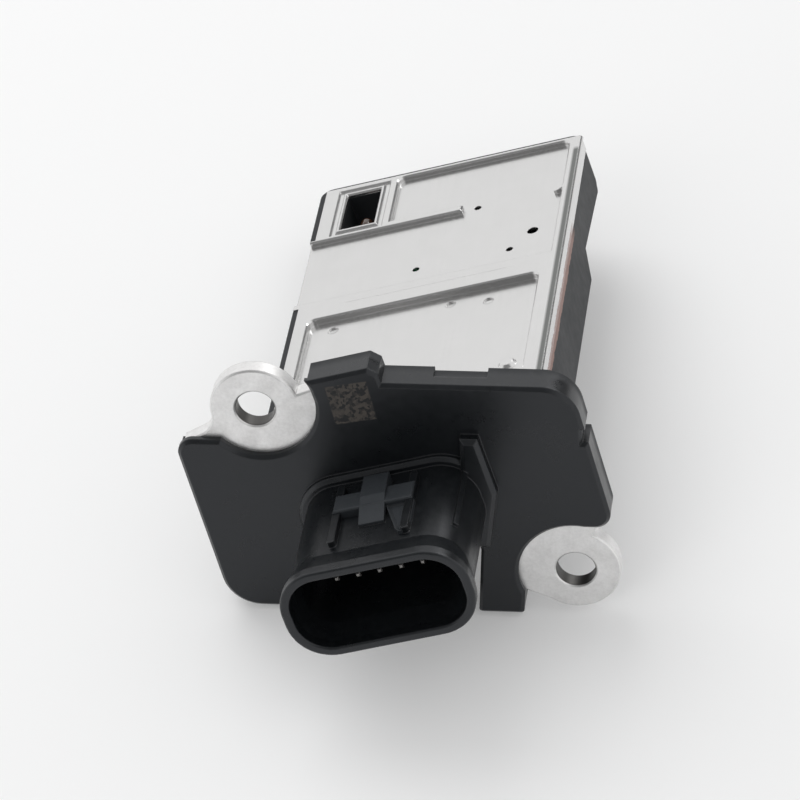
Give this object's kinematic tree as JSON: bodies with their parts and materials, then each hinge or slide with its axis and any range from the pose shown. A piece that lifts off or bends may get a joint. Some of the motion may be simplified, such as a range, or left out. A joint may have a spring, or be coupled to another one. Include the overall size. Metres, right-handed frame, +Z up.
{
  "type": "mass airflow sensor",
  "caption": "Plug-in air mass sensor: moulded flange with metal screw ears, a blade connector socket in front and a flat probe with a pressed metal plate behind.",
  "frame": {"origin": "midway between the two screw holes, on the metal face that the screw heads seat on", "axes": "+X along the flange, +Y along the probe from the connector side to its tip, +Z up in the plane of the flange"},
  "size_m": [0.0498, 0.085, 0.0329],
  "materials": {
    "black_moulding": "satin black glass-filled plastic",
    "plated_steel": "dull zinc plating",
    "pressed_sheet": "bright satin rolled sheet",
    "seal_rubber": "matt rubber",
    "board_laminate": "solder mask",
    "ceramic": "fired ceramic",
    "silicon": "polished chip",
    "bead_glass": "glossy glass coating",
    "package_body": "moulded epoxy",
    "capacitor_body": "fired ceramic",
    "tinned_contact": "bright tin",
    "bond_metal": "bright foil"
  },
  "bodies": {
    "root": {"housing": "black_moulding", "mounting_plate": "plated_steel", "base_plate": "pressed_sheet", "lower_cover": "black_moulding", "flange_seal": "seal_rubber", "circuit_board": "board_laminate", "element_carrier": "ceramic", "sensing_element": "silicon", "thermistor": "bead_glass", "processor_chip": "package_body", "regulator_chip": "package_body", "memory_chip": "package_body", "filter_capacitor_1": "capacitor_body", "filter_capacitor_2": "capacitor_body", "filter_capacitor_3": "capacitor_body", "filter_capacitor_4": "capacitor_body", "bridge_resistor_1": "package_body", "bridge_resistor_2": "package_body", "terminal_1": "tinned_contact", "terminal_2": "tinned_contact", "terminal_3": "tinned_contact", "terminal_4": "tinned_contact", "terminal_5": "tinned_contact", "bond_ribbon_1": "bond_metal", "bond_ribbon_2": "bond_metal", "bond_ribbon_3": "bond_metal", "bond_ribbon_4": "bond_metal", "bond_ribbon_5": "bond_metal", "thermistor_lead_1": "tinned_contact", "thermistor_lead_2": "tinned_contact"}
  },
  "joints": []
}
